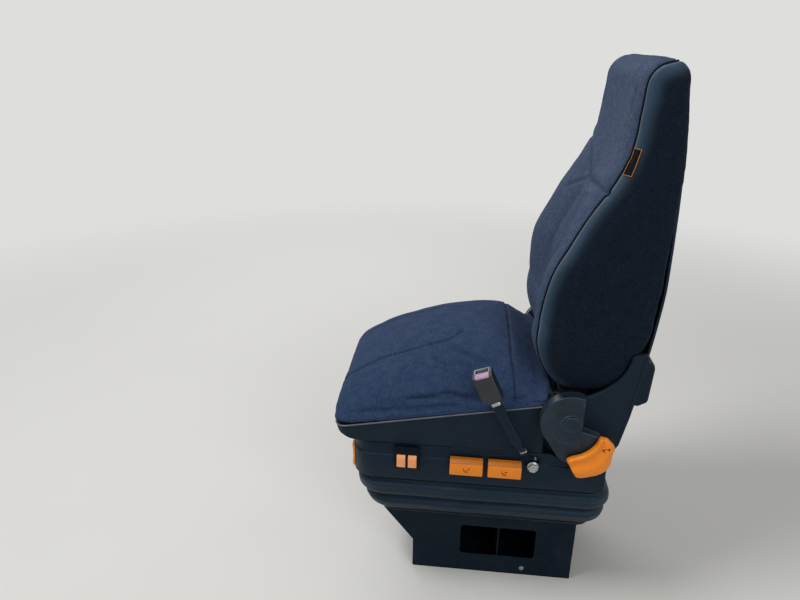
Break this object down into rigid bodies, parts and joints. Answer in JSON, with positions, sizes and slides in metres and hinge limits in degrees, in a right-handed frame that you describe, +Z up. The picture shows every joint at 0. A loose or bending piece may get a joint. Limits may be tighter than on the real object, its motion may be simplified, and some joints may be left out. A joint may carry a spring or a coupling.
{
  "type": "bus driver's suspension seat with floor console",
  "caption": "Driver's seat of a bus with air suspension under a bellows, side levers, reclining high back, belt buckle and a sheet metal floor console.",
  "frame": {"origin": "on the floor, at the centre of the console's four floor bolts", "axes": "X across the seat with +X at the driver's left where the levers are, the driver faces -Y, +Z up"},
  "size_m": [0.571, 0.7142, 1.277],
  "materials": {
    "painted_steel": "black powder coat, satin, lightly worn",
    "zinc": "bare zinc plate",
    "rubber": "matte black rubber",
    "black_plastic": "fine grained black plastic",
    "orange_plastic": "satin orange plastic",
    "rose_plastic": "faded red plastic",
    "seat_fabric": "dark woven fabric with a fine fleck"
  },
  "bodies": {
    "base": {"console": "painted_steel", "console_web": "painted_steel", "lower_tray": "painted_steel", "suspension_core": "painted_steel", "bellows": "rubber", "upper_tray": "painted_steel", "lower_rails": "zinc"},
    "carrier": {"upper_rails": "zinc", "side_frame_left": "painted_steel", "side_frame_right": "painted_steel", "cross_tubes": "painted_steel", "housing": "black_plastic", "slide_bar": "orange_plastic", "switch_bezel": "black_plastic", "air_switches": "orange_plastic", "tilt_lever": "orange_plastic", "depth_lever": "orange_plastic", "belt_bolt": "zinc", "belt_anchor": "zinc", "recliner_shaft": "zinc", "recliner_cover_left": "black_plastic", "recliner_cover_right": "black_plastic", "recline_lever": "orange_plastic"},
    "buckle": {"buckle_stalk": "painted_steel", "buckle_body": "black_plastic", "buckle_button": "rose_plastic"},
    "tilt": {"tilt_frame": "painted_steel"},
    "cushion": {"cushion_pan": "black_plastic", "cushion_pad": "seat_fabric"},
    "backrest": {"back_frame": "painted_steel", "back_trim_left": "black_plastic", "back_trim_right": "black_plastic", "back_shell": "black_plastic", "rear_cover": "black_plastic", "back_pad": "seat_fabric"}
  },
  "joints": [
    {"name": "fore_aft", "type": "slide", "parent": "base", "child": "carrier", "axis": [0, -1, 0], "range_m": [-0.105, 0.105]},
    {"name": "cushion_tilt", "type": "hinge", "parent": "carrier", "child": "tilt", "pos_m": [0, 0.072, 0.455], "axis": [-1, 0, 0], "range_deg": [0, 5]},
    {"name": "cushion_depth", "type": "slide", "parent": "tilt", "child": "cushion", "axis": [0, -1, 0], "range_m": [0, 0.06]},
    {"name": "recline", "type": "hinge", "parent": "carrier", "child": "backrest", "pos_m": [0, 0.14, 0.535], "axis": [-1, 0, 0], "range_deg": [-8, 30]},
    {"name": "buckle_swing", "type": "hinge", "parent": "carrier", "child": "buckle", "pos_m": [0.25, 0.07, 0.405], "axis": [-1, 0, 0], "range_deg": [-20, 18]}
  ]
}
